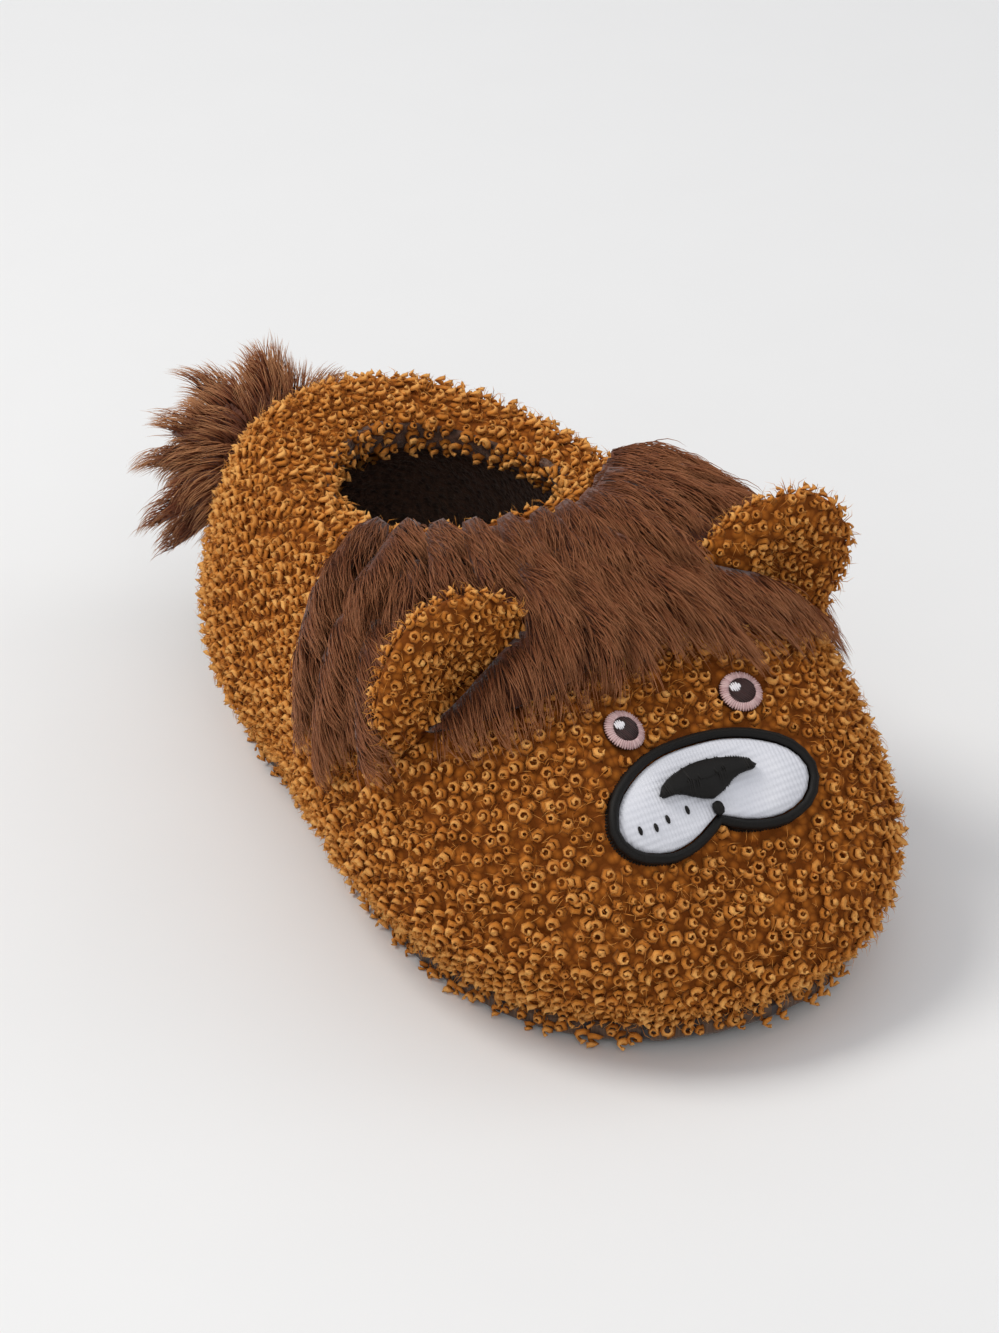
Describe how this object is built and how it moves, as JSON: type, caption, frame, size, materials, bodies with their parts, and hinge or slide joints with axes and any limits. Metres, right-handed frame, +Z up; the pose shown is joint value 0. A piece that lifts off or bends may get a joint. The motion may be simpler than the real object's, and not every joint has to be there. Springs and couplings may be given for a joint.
{
  "type": "animal slipper",
  "caption": "Child's plush slipper with a lion's face: curly pile upper, fur mane and tail tuft, cupped ears and a white stitched muzzle.",
  "frame": {"origin": "on the floor under the middle of the sole's length", "axes": "+Z up, -Y toward the toe, -X to the wearer's right"},
  "size_m": [0.0979, 0.1959, 0.0734],
  "materials": {
    "teddy_pile": "curly orange-brown teddy pile",
    "mane_fur": "long reddish-brown imitation fur",
    "sole_cloth": "brown cloth with small anti-slip dots",
    "lining_pile": "short dark brown pile",
    "muzzle_cloth": "smooth white satin weave",
    "black_thread": "black satin stitch",
    "eye_thread": "embroidered, dark with a pale ring"
  },
  "bodies": {
    "root": {"outsole": "sole_cloth", "insole": "lining_pile", "upper": "teddy_pile", "ear_inner": "teddy_pile", "ear_outer": "teddy_pile", "mane": "mane_fur", "tail": "mane_fur", "muzzle_patch": "muzzle_cloth", "muzzle_border": "black_thread", "nose": "black_thread", "mouth_line": "black_thread", "eye_inner": "eye_thread", "eye_outer": "eye_thread"}
  },
  "joints": []
}
